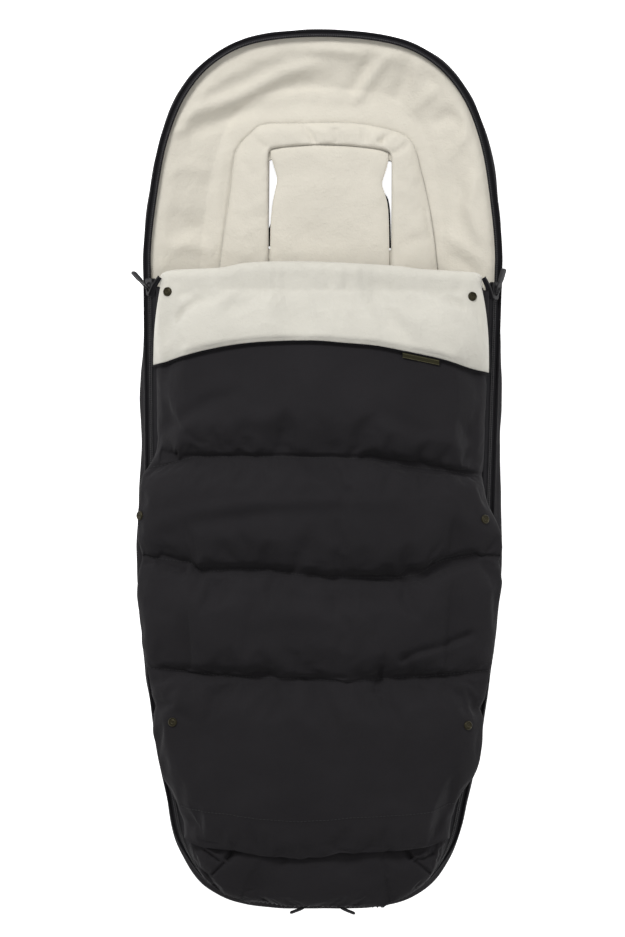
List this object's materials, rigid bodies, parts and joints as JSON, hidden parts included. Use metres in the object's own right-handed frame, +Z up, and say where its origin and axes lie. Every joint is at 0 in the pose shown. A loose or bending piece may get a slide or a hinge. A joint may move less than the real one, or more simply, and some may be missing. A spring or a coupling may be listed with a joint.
{
  "type": "stroller footmuff",
  "caption": "Padded full-length stroller footmuff with quilted zip-off cover, fold-over fleece collar, toe box and a harness window behind a liftable flap.",
  "frame": {"origin": "on the floor plane under the middle of the padded back, where its flat underside rests", "axes": "+X across the width to the pictured right, +Y along the length to the head end, +Z up out of the opening side"},
  "size_m": [0.4249, 1.0052, 0.1074],
  "materials": {
    "black_cloth": "matte woven polyester",
    "cream_fleece": "short-pile fleece",
    "filling": "polyester wadding",
    "zip_tape": "woven tape",
    "zip_teeth": "satin",
    "slider_metal": "satin black",
    "pull_rubber": "matte",
    "snap_brass": "antique",
    "label_weave": "woven satin"
  },
  "bodies": {
    "root": {"back_shell": "black_cloth", "back_wadding": "filling", "back_lining": "cream_fleece", "arch_pad": "cream_fleece", "harness_loop_strip": "zip_tape", "back_zip_tape": "zip_tape", "back_zip_teeth": "zip_teeth", "lower_cover_shell": "black_cloth", "lower_cover_wadding": "filling", "lower_cover_lining": "cream_fleece", "lower_cover_hem": "black_cloth", "toe_shell": "black_cloth", "toe_wadding": "filling", "toe_lining": "cream_fleece", "foot_zip_tape": "zip_tape", "foot_zip_teeth": "zip_teeth", "side_snap_lower_left": "snap_brass", "side_snap_lower_right": "snap_brass"},
    "front_cover": {"cover_shell": "black_cloth", "cover_wadding": "filling", "cover_lining": "cream_fleece", "cover_zip_tape_left": "zip_tape", "cover_zip_tape_right": "zip_tape", "cover_zip_teeth_left": "zip_teeth", "cover_zip_teeth_right": "zip_teeth", "cover_stud_left": "snap_brass", "cover_stud_right": "snap_brass", "side_snap_upper_left": "snap_brass", "side_snap_upper_right": "snap_brass"},
    "fold_over": {"collar_fleece": "cream_fleece", "collar_wadding": "filling", "collar_backing": "black_cloth", "collar_roll": "cream_fleece", "collar_hem": "black_cloth", "woven_label": "label_weave", "collar_snap_left": "snap_brass", "collar_snap_right": "snap_brass"},
    "harness_flap": {"flap_fleece": "cream_fleece", "flap_wadding": "filling", "flap_backing": "black_cloth", "flap_hook_strip": "zip_tape"},
    "slider_left": {"slider_left": "slider_metal"},
    "slider_right": {"slider_right": "slider_metal"},
    "pull_left": {"pull_left": "pull_rubber"},
    "pull_right": {"pull_right": "pull_rubber"},
    "foot_slider_left": {"foot_slider_left": "slider_metal"},
    "foot_slider_right": {"foot_slider_right": "slider_metal"},
    "foot_pull_left": {"foot_pull_left": "pull_rubber"},
    "foot_pull_right": {"foot_pull_right": "pull_rubber"}
  },
  "joints": [
    {"name": "front_cover_opening", "type": "hinge", "parent": "root", "child": "front_cover", "pos_m": [0, -0.235, 0.09314], "axis": [1, 0, 0], "range_deg": [0, 120]},
    {"name": "fold_over_turn", "type": "hinge", "parent": "front_cover", "child": "fold_over", "pos_m": [0, 0.218, 0.068], "axis": [-1, 0, 0], "range_deg": [0, 170]},
    {"name": "harness_flap_lift", "type": "hinge", "parent": "root", "child": "harness_flap", "pos_m": [0.006, 0.25, 0.0265], "axis": [1, 0, 0], "range_deg": [0, 80]},
    {"name": "slider_left_travel", "type": "slide", "parent": "root", "child": "slider_left", "axis": [0.0209, -0.9998, 0], "range_m": [0, 0.425]},
    {"name": "slider_right_travel", "type": "slide", "parent": "root", "child": "slider_right", "axis": [-0.0209, -0.9998, 0], "range_m": [0, 0.425]},
    {"name": "pull_left_swing", "type": "hinge", "parent": "slider_left", "child": "pull_left", "pos_m": [-0.19875, 0.20293, 0.05283], "axis": [0.6427, 0.0134, 0.766], "range_deg": [-49, 101]},
    {"name": "pull_right_swing", "type": "hinge", "parent": "slider_right", "child": "pull_right", "pos_m": [0.19875, 0.20293, 0.05283], "axis": [0.6427, -0.0134, -0.766], "range_deg": [-17, 133]},
    {"name": "foot_slider_left_travel", "type": "slide", "parent": "root", "child": "foot_slider_left", "axis": [-1, 0, 0], "range_m": [0, 0.05]},
    {"name": "foot_slider_right_travel", "type": "slide", "parent": "root", "child": "foot_slider_right", "axis": [1, 0, 0], "range_m": [0, 0.05]},
    {"name": "foot_pull_left_swing", "type": "hinge", "parent": "foot_slider_left", "child": "foot_pull_left", "pos_m": [-0.003, -0.4944, 0.05], "axis": [0, 0, 1], "range_deg": [-21, 129]},
    {"name": "foot_pull_right_swing", "type": "hinge", "parent": "foot_slider_right", "child": "foot_pull_right", "pos_m": [0.019, -0.4944, 0.05], "axis": [0, 0, -1], "range_deg": [-21, 129]}
  ],
  "couplings": [
    {"joint": "slider_left_travel", "follows": "front_cover_opening", "m_per_rad": 0.2029},
    {"joint": "slider_right_travel", "follows": "front_cover_opening", "m_per_rad": 0.2029}
  ]
}
